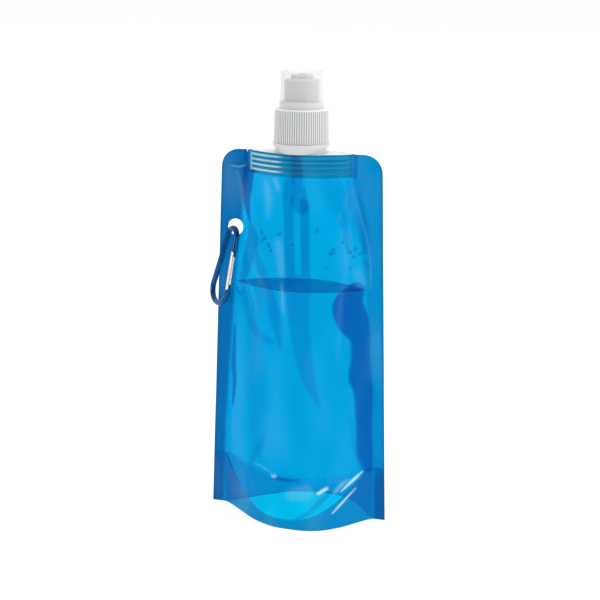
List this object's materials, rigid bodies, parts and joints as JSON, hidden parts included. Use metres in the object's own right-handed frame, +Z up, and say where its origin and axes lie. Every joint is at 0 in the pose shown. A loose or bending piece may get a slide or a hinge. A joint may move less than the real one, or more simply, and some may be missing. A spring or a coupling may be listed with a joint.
{
  "type": "folding water bottle",
  "caption": "Stand-up film pouch bottle with welded spout, ribbed screw cap, push-pull nozzle, clear dust cover and carabiner on its side seal.",
  "frame": {"origin": "centre of the overall width and depth, at the bottom edge of the film where the pouch stands", "axes": "+Z up through the spout, -Y out of the front panel, +X towards the side seal without the hanging hole"},
  "size_m": [0.1176, 0.069, 0.28],
  "materials": {
    "film": "translucent blue laminate film, welded",
    "fitment": "natural white moulded polyethylene",
    "cap": "white moulded polypropylene",
    "band": "natural white moulded polyethylene",
    "seal": "soft white liner",
    "nozzle": "white moulded polyethylene",
    "cover": "clear moulded plastic",
    "carabiner": "blue anodised, polished",
    "gate": "bare, polished",
    "pins": "bright steel rivet",
    "spring": "spring wire"
  },
  "bodies": {
    "pouch": {"front_panel_body": "film", "back_panel_body": "film", "bottom_gusset": "film", "front_panel_crease": "film", "back_panel_crease": "film"},
    "pouch_top": {"front_panel_top": "film", "back_panel_top": "film", "spout_fitment": "fitment"},
    "band": {"tamper_band": "band"},
    "cap_carrier": {"cap_seal": "seal"},
    "cap": {"screw_cap": "cap"},
    "nozzle": {"nozzle": "nozzle"},
    "cover": {"dust_cover": "cover"},
    "carabiner": {"carabiner_body": "carabiner", "gate_pivot_pin": "pins"},
    "gate": {"carabiner_gate": "gate", "gate_nose_pin": "pins", "gate_spring": "spring"}
  },
  "joints": [
    {"name": "top_fold", "type": "hinge", "parent": "pouch", "child": "pouch_top", "pos_m": [0, 0, 0.201], "axis": [-1, 0, 0], "range_deg": [0, 75], "deforming": ["front_panel_crease", "back_panel_crease"]},
    {"name": "band_spin", "type": "hinge", "parent": "pouch_top", "child": "band", "pos_m": [0, 0, 0.2347], "axis": [0, 0, 1], "continuous": true},
    {"name": "cap_lift", "type": "slide", "parent": "pouch_top", "child": "cap_carrier", "axis": [0, 0, 1], "range_m": [0, 0.0245]},
    {"name": "cap_unscrew", "type": "hinge", "parent": "cap_carrier", "child": "cap", "pos_m": [0, 0, 0.25], "axis": [0, 0, 1], "range_deg": [0, 2160]},
    {"name": "nozzle_pull", "type": "slide", "parent": "cap", "child": "nozzle", "axis": [0, 0, 1], "range_m": [0, 0.005]},
    {"name": "cover_lift", "type": "slide", "parent": "nozzle", "child": "cover", "axis": [0, 0, 1], "range_m": [0, 0.04]},
    {"name": "carabiner_swing", "type": "hinge", "parent": "pouch", "child": "carabiner", "pos_m": [-0.0424, 0, 0.1796], "axis": [0, 1, 0], "range_deg": [0, 30]},
    {"name": "gate_open", "type": "hinge", "parent": "carabiner", "child": "gate", "pos_m": [-0.04164, -0.00522, 0.16439], "axis": [0.6541, 0.7264, -0.211], "range_deg": [0, 25], "stiffness_Nm_per_rad": 0.01, "springref_deg": -5.73}
  ],
  "couplings": [
    {"joint": "cap_lift", "follows": "cap_unscrew", "m_per_rad": 0.00063662}
  ]
}
